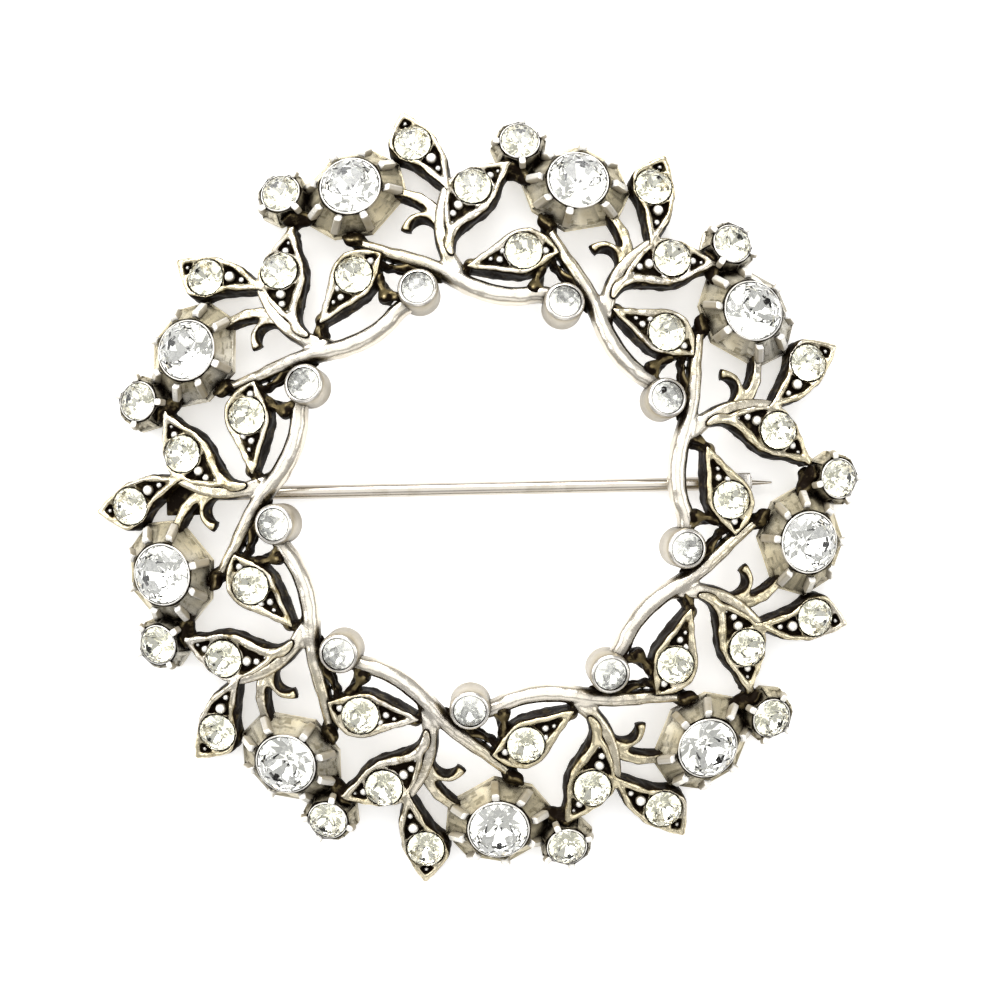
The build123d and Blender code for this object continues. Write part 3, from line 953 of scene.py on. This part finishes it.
@dataclass(frozen=True)
class Findings:
    """The hinge's ears, the catch and the two pads that they are soldered on, behind the wreath."""

    pin_offset: float = 0.6
    pin_slope: float = 1.2
    pin_height: float = 0.78
    pin_radius: float = 0.43
    hinge_reach: float = 18.6
    catch_reach: float = 16.2
    eye_width: float = 0.9
    eye_gap: float = 0.05
    ear_width: float = 0.55
    ear_radius: float = 0.72
    hinge_pad: Vector = Vector((2.4, 2.6, 0.4))
    catch_pad: Vector = Vector((1.1, 1.2, 0.4))
    pad_sink: float = 0.2
    pad_rounding: float = 0.08
    rounding: float = 0.05
    overlap: float = 0.05
    hook_width: float = 1.3
    hook_wall: float = 0.22
    hook_gap: float = 0.08
    hook_mouth: float = 60.0
    hook_steps: int = 28

    def line(self, reach: float) -> Matrix:
        """The pin's own plane at a distance along it: X towards the catch, Y across, Z off the front."""
        middle = Matrix.Translation((0, self.pin_offset, self.pin_height))
        turned = Matrix.Rotation(math.radians(self.pin_slope), 4, "Z")
        return middle @ turned @ Matrix.Translation((reach, 0, 0))

    def roof(self, dome: Dome, reach: float) -> float:
        """Height of a pad's middle over the pin's axis."""
        return dome.height(reach) + self.pad_sink - self.pin_height

    def pad(self, work: Metalwork, dome: Dome, reach: float, size: Vector) -> None:
        """Adds the pad at one end of the pin.

        Args:
            work: What it is added to.
            dome: The dome that it lies against.
            reach: Its distance along the pin from the middle.
            size: Its length along the pin, width and thickness.
        """
        slope = Matrix.Rotation(math.asin(reach / dome.dome_radius), 4, "Y")
        where = self.line(reach) @ Matrix.Translation((0, 0, self.roof(dome, reach))) @ slope
        work.block(where, size, self.pad_rounding)

    def hinge(self, dome: Dome) -> bpy.types.Mesh:
        """Models the hinge's two ears on their pad.

        Args:
            dome: The dome that the pad lies against.

        Returns:
            The mesh, in its place.
        """
        work = Metalwork()
        self.pad(work, dome, -self.hinge_reach, self.hinge_pad)
        axle = self.line(-self.hinge_reach) @ Matrix.Rotation(math.pi / 2, 4, "X")
        roof = self.roof(dome, self.hinge_reach)
        inner = self.eye_width / 2 + self.eye_gap
        for side in (-1, 1):
            near, far = sorted((side * inner, side * (inner + self.ear_width)))
            work.drum(axle, self.ear_radius, self.ear_radius, near, far)
            ear = axle @ Matrix.Translation((0, roof / 2, (near + far) / 2))
            work.block(ear, Vector((2 * self.ear_radius, roof, self.ear_width)), self.rounding)
        return work.finish("hinge_ears", 35)

    def catch(self, dome: Dome) -> bpy.types.Mesh:
        """Models the open catch on its pad.

        Args:
            dome: The dome that the pad lies against.

        Returns:
            The mesh, in its place.
        """
        work = Metalwork()
        self.pad(work, dome, self.catch_reach, self.catch_pad)
        line = self.line(self.catch_reach)
        inner = self.pin_radius + self.hook_gap
        outer = inner + self.hook_wall
        mouth = math.radians(self.hook_mouth)
        start = line @ Matrix.Rotation(mouth / 2, 4, "X") @ Matrix.Translation((0, (inner + outer) / 2, 0))
        section = start @ Matrix.Diagonal((self.hook_width, self.hook_wall, 0, 1))
        made = bmesh.ops.create_grid(work.bm, x_segments=1, y_segments=1, size=0.5, matrix=section)
        face = made["verts"][0].link_faces[0]
        geom = [face, *face.edges, *face.verts]
        turn = {"cent": line.translation, "axis": line.col[0].to_3d(), "angle": math.tau - mouth}
        bmesh.ops.spin(work.bm, geom=geom, steps=self.hook_steps, use_duplicate=False, **turn)
        roof = self.roof(dome, self.catch_reach)
        stalk = line @ Matrix.Translation((0, 0, (roof + outer) / 2 - self.overlap))
        size = Vector((self.hook_width, outer, roof - outer + 2 * self.overlap))
        work.block(stalk, size, self.rounding)
        return work.finish("catch_hook", 35)


Number: TypeAlias = "float | Value"


class Speckle(NamedTuple):
    """A noise: its cells a metre, or a unit of a UV map, its detail and its roughness."""

    scale: float
    detail: float = 3.0
    rough: float = 0.55


class Ramp(NamedTuple):
    """Where a smooth step starts from 0, where it reaches 1, and how far mottling moves both."""

    low: float
    high: float
    ragged: float = 0.0


class Value:
    """What a shader socket gives, for use in sums."""

    def __init__(self, recipe: "Recipe", socket: bpy.types.NodeSocket) -> None:
        self.recipe = recipe
        self.socket = socket

    def maths(self, operation: str, first: Number, second: Number) -> "Value":
        """A Math node on two numbers."""
        return self.recipe.node("ShaderNodeMath", {"operation": operation}, {0: first, 1: second})

    def __add__(self, other: Number) -> "Value":
        """This value plus another."""
        return self.maths("ADD", self, other)

    __radd__ = __add__

    def __sub__(self, other: Number) -> "Value":
        """This value less another."""
        return self.maths("SUBTRACT", self, other)

    def __rsub__(self, other: Number) -> "Value":
        """Another number less this value."""
        return self.maths("SUBTRACT", other, self)

    def __mul__(self, other: Number) -> "Value":
        """This value times another."""
        return self.maths("MULTIPLY", self, other)

    __rmul__ = __mul__

    def __or__(self, other: Number) -> "Value":
        """The greater of this value and another."""
        return self.maths("MAXIMUM", self, other)


class Recipe:
    """One material's node tree, built by adding nodes whose sockets take numbers, colours or values."""

    SAMPLES = 2

    def __init__(self, name: str) -> None:
        self.material = bpy.data.materials.new(name)
        self.material.use_nodes = True
        self.tree = self.material.node_tree
        self.tree.nodes.clear()
        self.place = self.node("ShaderNodeTexCoord", {}, {}, "Object")

    def node(
        self,
        kind: str,
        settings: Mapping[str, object],
        inputs: Mapping[int | str, object],
        output: int | str = 0,
    ) -> Value:
        """Adds a node.

        Args:
            kind: The node's type.
            settings: Its properties, set before its sockets.
            inputs: Values, numbers or colours by socket name or number.
            output: Which of its outputs is wanted.

        Returns:
            The output as a value.
        """
        made = self.tree.nodes.new(kind)
        for key, setting in settings.items():
            setattr(made, key, setting)
        for key, given in inputs.items():
            if isinstance(given, Value):
                self.tree.links.new(given.socket, made.inputs[key])
            else:
                made.inputs[key].default_value = given
        return Value(self, made.outputs[output])

    def noise(self, speckle: Speckle, where: Value | None = None) -> Value:
        """Noise from 0 to 1, in the brooch's own space or where it is told."""
        inputs = {"Scale": speckle.scale, "Detail": speckle.detail, "Roughness": speckle.rough}
        return self.node("ShaderNodeTexNoise", {}, {"Vector": where or self.place, **inputs})

    def step(self, value: Value, ramp: Ramp) -> Value:
        """A smooth step of a value."""
        inputs = {"Value": value, "From Min": ramp.low, "From Max": ramp.high}
        return self.node("ShaderNodeMapRange", {"interpolation_type": "SMOOTHSTEP"}, inputs)

    def at_least(self, least: float, value: Value) -> Value:
        """A value from 0 to 1, squeezed in between a least value and 1."""
        return least + (1 - least) * value

    def blend(self, factor: Number, first: object, second: object) -> Value:
        """A colour between two colours."""
        return self.node("ShaderNodeMix", {"data_type": "RGBA"}, {0: factor, 6: first, 7: second}, 2)

    def vector(self, operation: str, first: object, second: object = None, output: int | str = 0) -> Value:
        """A Vector Math node on one or two vectors."""
        inputs = {0: first} if second is None else {0: first, 1: second}
        return self.node("ShaderNodeVectorMath", {"operation": operation}, inputs, output)

    def hollow(self, distance: float) -> Value:
        """How closed in a place is, from 0 to 1, by what stands within a distance in millimetres."""
        inputs = {"Distance": distance * MM}
        return 1 - self.node("ShaderNodeAmbientOcclusion", {"samples": self.SAMPLES}, inputs, "AO")

    def bump(self, height: Value, distance: float, strength: float = 1.0) -> Value:
        """A bumped normal; distance is the depth in metres."""
        inputs = {"Height": height, "Distance": distance, "Strength": strength}
        return self.node("ShaderNodeBump", {}, inputs)

    def principled(self, inputs: Mapping[str, object]) -> Value:
        """A Principled shader."""
        return self.node("ShaderNodeBsdfPrincipled", {}, inputs)

    def output(self, shader: Value) -> bpy.types.Material:
        """Ends the recipe with its shader, and returns the material."""
        end = self.tree.nodes.new("ShaderNodeOutputMaterial")
        self.tree.links.new(shader.socket, end.inputs["Surface"])
        return self.material


@dataclass(frozen=True)
class OldSilver:
    """Silvered casting: worn bright on its high places, dark brown with patina and painted shade in hollows
    and down walls.

    What faces the front by less than worn is a wall, and walls are clean nearer the wreath's middle than
    clean_radius. What lies lower than floor_height over the dome is dark. A rag is how far mottling moves
    such an edge. Lengths are in millimetres.
    """

    name: str
    silver: Colour = (0.76, 0.71, 0.63, 1)
    cream: Colour = (0.72, 0.63, 0.41, 1)
    tarnish: Colour = (0.22, 0.17, 0.08, 1)
    # The near-black of grime, which also paints shade
    dirt_and_shade: Colour = (0.007, 0.004, 0.002, 1)
    cream_share: float = 0.85
    stain: float = 0.55
    # How much walls, hollows and the feet of raised edges darken, for patina and painted shade
    wall_dirt_and_shade: float = 1.0
    sunk_dirt_and_shade: float = 1.0
    line_dirt_and_shade: float = 1.0
    line_reach: float = 0.42
    sunk_reach: float = 1.2
    floor_height: float = -1.0
    floor_fade: float = 0.12
    floor_rag: float = 0.2
    clean_radius: float = 0.0
    clean_fade: float = 1.5
    clean_rag: float = 2.0
    worn: float = 0.8
    wall_fade: float = 0.38
    wall_rag: float = 0.35
    metal: float = 1.0
    shine: float = 0.03
    polish: float = 0.24
    grain_depth: float = 0.02
    streaked: bool = False

    OUTWARD_WALL_DIRT_AND_SHADE = 0.5
    UNDERSIDE_DIRT_AND_SHADE = 0.25
    INNER_CREAM = 0.25
    INNER_STAIN = 0.2
    SPOTS_IN_HOLLOWS = 0.55
    SPOTS_IN_FRONT = -0.35
    STREAKS_SHARE = 1.3
    STREAKS_LEVEL = -0.83
    BROWN_IN_GRIME_AND_SHADE = 0.4
    DIRT_AND_SHADE_ROUGHNESS = 0.22
    GRAIN_ROUGHNESS = 0.12
    DIRT_AND_SHADE_DULLNESS = 0.9
    MOTTLE_BUMP = 0.6
    DIRT_AND_SHADE_BUMP = 2.0
    BUMP_STRENGTH = 0.8
    MOTTLE = Speckle(520, 4, 0.62)
    GRAIN = Speckle(2600, 3, 0.6)
    CLOUDS = Speckle(150, 2)
    SPOTS = Speckle(1100, 5, 0.7)
    STREAKS = Speckle(9, 2, 0.6)
    GRIME = Speckle(1700, 4, 0.65)
    OUTER = Ramp(0.0, 0.7)
    SUNK = Ramp(0.3, 0.56, 0.4)
    LINE = Ramp(0.14, 0.4, 0.3)
    UPPER = Ramp(-0.6, -0.2)
    WARM = Ramp(0.3, 0.6, 0.3)
    BLOTCH = Ramp(0.18, 0.38)
    STAINED = Ramp(0.05, 0.5, 0.3)
    GRIMY_AND_SHADED = Ramp(0.35, 0.8)
    PATCHY = Ramp(0.52, 0.74)

    def dress(self, dome: Dome) -> bpy.types.Material:
        """Makes the material.

        Args:
            dome: The dome that the castings lie on.

        Returns:
            The material.
        """
        recipe = Recipe(self.name)
        from_centre = recipe.vector("SUBTRACT", recipe.place, (0, 0, dome.centre * MM))
        front = recipe.vector("NORMALIZE", from_centre)
        height = recipe.vector("LENGTH", from_centre, output="Value") - dome.dome_radius * MM
        flat = recipe.vector("MULTIPLY", recipe.place, (1, 1, 0))
        radius = recipe.vector("LENGTH", flat, output="Value")
        normal = recipe.node("ShaderNodeNewGeometry", {}, {}, "Normal")
        facing = recipe.vector("DOT_PRODUCT", normal, front, "Value")
        outward = recipe.vector("DOT_PRODUCT", normal, recipe.vector("NORMALIZE", flat), "Value")
        mottle = recipe.noise(self.MOTTLE) - 0.5
        grain = recipe.noise(self.GRAIN) - 0.5
        closed = recipe.hollow(self.sunk_reach)

        def ragged(value: Value, ramp: Ramp) -> Value:
            """A smooth step whose edge the mottling breaks up."""
            return recipe.step(value + ramp.ragged * mottle, ramp)

        clean = Ramp(self.clean_radius * MM, (self.clean_radius + self.clean_fade) * MM, self.clean_rag * MM)
        outside = ragged(radius, clean)
        upper = recipe.at_least(self.UNDERSIDE_DIRT_AND_SHADE, recipe.step(facing, self.UPPER))

        # The darkening on walls, in hollows and beside raised edges, which is patina and painted shade, and
        # on low floors
        wall = ragged(facing, Ramp(self.worn, self.worn - self.wall_fade, self.wall_rag))
        # Walls that face outward darken less than walls that face inward: painted shade
        outer = recipe.step(outward, self.OUTER)
        wall = wall * outside * self.wall_dirt_and_shade * (1 - self.OUTWARD_WALL_DIRT_AND_SHADE * outer)
        # Ambient occlusion darkens hollows and the feet of raised edges: painted shade, together with patina
        # there
        sunk = ragged(closed, self.SUNK) * self.sunk_dirt_and_shade
        line = ragged(recipe.hollow(self.line_reach), self.LINE) * self.line_dirt_and_shade
        floor_top = self.floor_height + self.floor_fade
        floor = ragged(height, Ramp(floor_top * MM, self.floor_height * MM, self.floor_rag * MM))
        dirt_and_shade = (wall | sunk | line | floor) * upper

        # The metal, from its silver through cream and tarnished spots to the near-black of grime and painted
        # shade
        clouds = ragged(recipe.noise(self.CLOUDS), self.WARM)
        creamy = clouds * self.cream_share * recipe.at_least(self.INNER_CREAM, outside)
        metal = recipe.blend(creamy, self.silver, self.cream)
        spotted = recipe.noise(self.SPOTS) + self.SPOTS_IN_HOLLOWS * closed + self.SPOTS_IN_FRONT * facing
        if self.streaked:
            strip = recipe.node("ShaderNodeUVMap", {"uv_map": STRIPS}, {})
            spotted = spotted + self.STREAKS_SHARE * recipe.noise(self.STREAKS, strip) + self.STREAKS_LEVEL
        blotch = recipe.step(spotted, self.BLOTCH) * self.stain
        metal = recipe.blend(blotch * recipe.at_least(self.INNER_STAIN, outside), metal, self.tarnish)
        # Where the darkening is strong the colour goes near-black with brown patches, for grime and painted
        # shade alike
        stained = recipe.blend(ragged(dirt_and_shade, self.STAINED), metal, self.tarnish)
        patches = recipe.step(recipe.noise(self.GRIME), self.PATCHY)
        grime_and_shade = recipe.blend(self.BROWN_IN_GRIME_AND_SHADE * patches, self.dirt_and_shade, self.tarnish)
        relief = grain + self.MOTTLE_BUMP * mottle + self.DIRT_AND_SHADE_BUMP * dirt_and_shade * grain
        inputs = {
            "Base Color": recipe.blend(recipe.step(dirt_and_shade, self.GRIMY_AND_SHADED), stained, grime_and_shade),
            "Roughness": self.polish + self.DIRT_AND_SHADE_ROUGHNESS * dirt_and_shade + self.GRAIN_ROUGHNESS * grain,
            "Metallic": self.metal - self.DIRT_AND_SHADE_DULLNESS * self.metal * dirt_and_shade,
            "Specular IOR Level": self.shine,
            "Normal": recipe.bump(relief, self.grain_depth * MM, self.BUMP_STRENGTH),
        }
        return recipe.output(recipe.principled(inputs))


@dataclass(frozen=True)
class NickelWire:
    """Bright nickel wire with fine drawing marks along it."""

    name: str = "nickel_wire"
    nickel: Colour = (0.52, 0.48, 0.42, 1)
    dull: Colour = (0.4, 0.36, 0.29, 1)
    mark_length: float = 25.0
    mark_depth: float = 0.004

    MARKS = Speckle(9000, 2, 0.5)
    SPOTS = Speckle(600)
    DULL = Ramp(0.5, 0.75)

    def dress(self) -> bpy.types.Material:
        """Makes the material.

        Returns:
            The material.
        """
        recipe = Recipe(self.name)
        stretch = {"Vector": recipe.place, "Scale": (1 / self.mark_length, 1, 1)}
        marks = recipe.noise(self.MARKS, recipe.node("ShaderNodeMapping", {}, stretch))
        dulled = recipe.step(recipe.noise(self.SPOTS), self.DULL) * 0.6
        inputs = {
            "Base Color": recipe.blend(dulled, self.nickel, self.dull),
            "Roughness": 0.16 + 0.12 * marks,
            "Metallic": 1.0,
            "Normal": recipe.bump(marks, self.mark_depth * MM, 0.6),
        }
        return recipe.output(recipe.principled(inputs))


@dataclass(frozen=True)
class FoiledPaste:
    """Clear lead glass with silver foil behind its back facets."""

    name: str
    foil: Colour = (0.97, 0.96, 0.86, 1)
    dulling: float = 0.05
    glass: Colour = (1.0, 1.0, 0.97, 1)
    index: float = 1.52

    SPECKS = Speckle(3000)
    FRONT = Ramp(-0.16, -0.1)

    def dress(self) -> bpy.types.Material:
        """Makes the material.

        Returns:
            The material.
        """
        recipe = Recipe(self.name)
        normal = recipe.node("ShaderNodeNewGeometry", {}, {}, "True Normal")
        behind = recipe.node("ShaderNodeNewGeometry", {}, {}, "Backfacing")
        facing = recipe.node("ShaderNodeSeparateXYZ", {}, {0: normal}, "Z") * (1 - 2 * behind)
        rough = self.dulling + 0.06 * recipe.noise(self.SPECKS)
        foil = recipe.principled({"Base Color": self.foil, "Roughness": rough, "Metallic": 1.0})
        clear = {"Roughness": 0.0, "IOR": self.index, "Transmission Weight": 1.0}
        glass = recipe.principled({"Base Color": self.glass, **clear})
        front = recipe.step(facing, self.FRONT)
        return recipe.output(recipe.node("ShaderNodeMixShader", {}, {0: front, 1: foil, 2: glass}))


SILVERS = (
    OldSilver("leaf_silver", stain=0.95, worn=0.86, floor_height=1.25),
    OldSilver("bough_silver", cream_share=0.55, stain=0.7, clean_radius=14.0),
    OldSilver("twig_silver", stain=0.9, worn=1.0),
    OldSilver(
        "cup_silver",
        silver=(0.9, 0.86, 0.76, 1),
        tarnish=(0.3, 0.26, 0.17, 1),
        stain=0.8,
        wall_dirt_and_shade=0.0,
        sunk_dirt_and_shade=0.1,
        line_dirt_and_shade=0.85,
        line_reach=0.7,
        metal=0.5,
        polish=0.34,
        streaked=True,
    ),
    # A whiter, less metallic copy of the silver for the claws and grains, which paints their highlights
    OldSilver(
        "claw_silver",
        silver=(0.97, 0.95, 0.91, 1),
        cream_share=0.15,
        stain=0.1,
        wall_dirt_and_shade=0.35,
        sunk_dirt_and_shade=0.1,
        metal=0.35,
    ),
    OldSilver("polished_silver", silver=(0.8, 0.77, 0.73, 1), cream_share=0.1, wall_dirt_and_shade=0.3, stain=0.3),
    OldSilver("old_solder", stain=1.0, worn=1.2),
    # Near-black all over: painted shade on the hinge ears, and also used for the dark ring inside each
    # collet's lip
    OldSilver("dark_silver", stain=1.0, floor_height=4.0),
)

LEAF_PASTE = FoiledPaste("foiled_paste")

PASTES = {
    "flower": FoiledPaste("clear_paste", foil=(0.98, 0.98, 0.96, 1), dulling=0.02),
    "berry": LEAF_PASTE,
    "bezel": FoiledPaste("white_paste", foil=(1.0, 1.0, 0.98, 1), dulling=0.2),
    "leaf": LEAF_PASTE,
}


class Lamp(NamedTuple):
    """A rectangular soft light: its place and its size in millimetres, and its power in watts."""

    name: str
    place: Vector
    width: float
    height: float
    power: float


LAMPS = (
    Lamp("ceiling", Vector((0, 60, 700)), 700, 700, 1.8),
    Lamp("top", Vector((-80, 420, 340)), 520, 340, 3.4),
    Lamp("left", Vector((-440, 40, 300)), 360, 360, 1.1),
    Lamp("right", Vector((440, 0, 300)), 360, 300, 0.6),
    Lamp("bottom", Vector((0, -440, 300)), 400, 300, 0.3),
)


@dataclass(frozen=True)
class Studio:
    """A white table, soft lights on its four sides and above it, and the camera over the middle."""

    camera_place: tuple[float, float, float] = (1.12, -0.13, 150.0)
    lens: float = 85.25
    sensor: float = 36.0
    sharp: tuple[float, float] = (0.01, 10.0)
    table_size: float = 1200.0
    table_white: Colour = (0.93, 0.93, 0.93, 1)
    table_glow: float = 0.42
    room_light: float = 0.5

    def camera(self) -> None:
        """Sets the camera straight over the brooch, as in the photograph."""
        data = bpy.data.cameras.new("camera")
        data.lens = self.lens
        data.sensor_width = self.sensor
        data.clip_start, data.clip_end = self.sharp
        camera = add_object("camera", data)
        camera.location = Vector(self.camera_place) * MM
        bpy.context.scene.camera = camera

    def table(self) -> None:
        """Lays the plain white table under the brooch."""
        bm = bmesh.new()
        bmesh.ops.create_grid(bm, x_segments=1, y_segments=1, size=self.table_size * MM / 2)
        mesh = bpy.data.meshes.new("table_top")
        bm.to_mesh(mesh)
        bm.free()
        recipe = Recipe("white_table")
        glow = {"Emission Color": (1, 1, 1, 1), "Emission Strength": self.table_glow}
        shader = recipe.principled({"Base Color": self.table_white, "Roughness": 0.8, **glow})
        mesh.materials.append(recipe.output(shader))
        add_object("table_top", mesh)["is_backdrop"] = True

    def hang(self, lamp: Lamp) -> None:
        """Hangs a lamp so that it faces the brooch.

        Args:
            lamp: The lamp.
        """
        data = bpy.data.lights.new(lamp.name, "AREA")
        data.shape = "RECTANGLE"
        data.size, data.size_y = lamp.width * MM, lamp.height * MM
        data.energy = lamp.power
        light = add_object(lamp.name, data)
        light.location = lamp.place * MM
        light.rotation_euler = (-lamp.place).to_track_quat("-Z", "Y").to_euler()

    def room(self) -> None:
        """Fills the room with an even white light."""
        world = bpy.data.worlds.new("room")
        world.use_nodes = True
        background = world.node_tree.nodes["Background"]
        background.inputs["Color"].default_value = (1, 1, 1, 1)
        background.inputs["Strength"].default_value = self.room_light
        bpy.context.scene.world = world
        bpy.context.scene.view_settings.view_transform = "Standard"

    def build(self) -> None:
        """Builds the whole studio."""
        self.camera()
        self.table()
        self.room()
        for lamp in LAMPS:
            self.hang(lamp)


@dataclass(frozen=True)
class WreathBrooch:
    """The whole brooch: castings, cups and collets round the wreath, findings behind, stones and pin."""

    dome: Dome = Dome()
    findings: Findings = Findings()
    collet: Collet = Collet()
    leaf_melt: Melt = Melt(cell=0.09, dent=0.11)
    bough_melt: Melt = Melt(cell=0.11, dent=0.045)
    twig_melt: Melt = Melt(cell=0.09, dent=0.14)
    solder_melt: Melt = Melt(cell=0.11, dent=0.4)

    def cast(
        self, name: str, parts: Iterable[Leaf | Bough], melt: Melt, borne: Iterable[Cup | Collet] = ()
    ) -> bpy.types.Mesh:
        """Models one casting of a spray.

        Args:
            name: The mesh's name.
            parts: Its leaves or strands.
            melt: How they become one.
            borne: The cups and collets that it has a foot for.

        Returns:
            The mesh in the unit spray's place.
        """
        work = Metalwork()
        for part in parts:
            part.cast(work, self.dome)
        for setting in borne:
            setting.foot(work, self.dome)
        return melt.cast(work.finish(name), [(leaf.pit, leaf.seat(self.dome)) for leaf in LEAVES])

    def grains(self) -> bpy.types.Mesh:
        """Models one spray's grains."""
        work = Metalwork()
        for leaf in LEAVES:
            leaf.grains(work, self.dome)
        return work.finish("grains", 180)

    def castings(self) -> dict[str, tuple[bpy.types.Mesh, list[str]]]:
        """Models one spray.

        Returns:
            Its pieces by kind, each with the names of its finishes.
        """
        cup_finishes = ["cup_silver", "claw_silver"]
        borne = (self.collet, FLOWER_CUP, BERRY_CUP)
        return {
            "leaves": (self.cast("leaves", LEAVES, self.leaf_melt), ["leaf_silver"]),
            "boughs": (self.cast("boughs", BOUGHS, self.bough_melt, borne), ["bough_silver"]),
            "twigs": (self.cast("twigs", TWIGS, self.twig_melt), ["twig_silver"]),
            "solder": (self.cast("solder", SOLDER, self.solder_melt), ["old_solder"]),
            "grains": (self.grains(), ["claw_silver"]),
            "flower_cup": (FLOWER_CUP.forge(self.dome, "flower_cup"), cup_finishes),
            "berry_cup": (BERRY_CUP.forge(self.dome, "berry_cup"), cup_finishes),
            "bezel": (self.collet.forge(self.dome, "bezel"), ["polished_silver", "dark_silver"]),
        }

    def dress_nodes(self) -> None:
        """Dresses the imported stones, pin and rivet."""
        wire = NickelWire().dress()
        pastes = {paste.name: paste.dress() for paste in PASTES.values()}
        for name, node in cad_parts.items():
            if name == CASTING:
                continue
            kind = PASTES.get(name.split("_")[0])
            node.data.materials.clear()
            node.data.materials.append(pastes[kind.name] if kind else wire)
            log.info("%s: dressed", name)

    def build(self) -> None:
        """Builds every piece, puts it on its body and dresses it."""
        silver = {finish.name: finish.dress(self.dome) for finish in SILVERS}
        for kind, (mesh, finishes) in self.castings().items():
            materials = [silver[name] for name in finishes]
            for number, where in enumerate(self.dome.places(), start=1):
                place(f"{kind}_{number}", mesh, where, materials)
            triangles = sum(len(face.vertices) - 2 for face in mesh.polygons)
            log.info("%s: nine pieces of %d triangles", kind, triangles)
        here = Matrix.Identity(4)
        # The hinge ears are near-black all over: painted shade, as they lie under the wreath
        place("hinge_ears", self.findings.hinge(self.dome), here, [silver["dark_silver"]])
        place("catch_hook", self.findings.catch(self.dome), here, [silver["polished_silver"]])
        log.info("hinge_ears, catch_hook: one piece each")
        self.dress_nodes()


def corners(box: tuple[Vector, Vector]) -> list[list[float]]:
    """A box's two corners as plain lists."""
    return [list(corner) for corner in box]


def main() -> None:
    """Builds the studio and the brooch, and works out the model's box before and after."""
    logging.basicConfig(level=logging.INFO, format="%(message)s")
    Studio().build()
    WreathBrooch().build()
    {"cad": corners(cad_box), "visual": corners(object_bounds())}


if __name__ == "__main__":
    main()
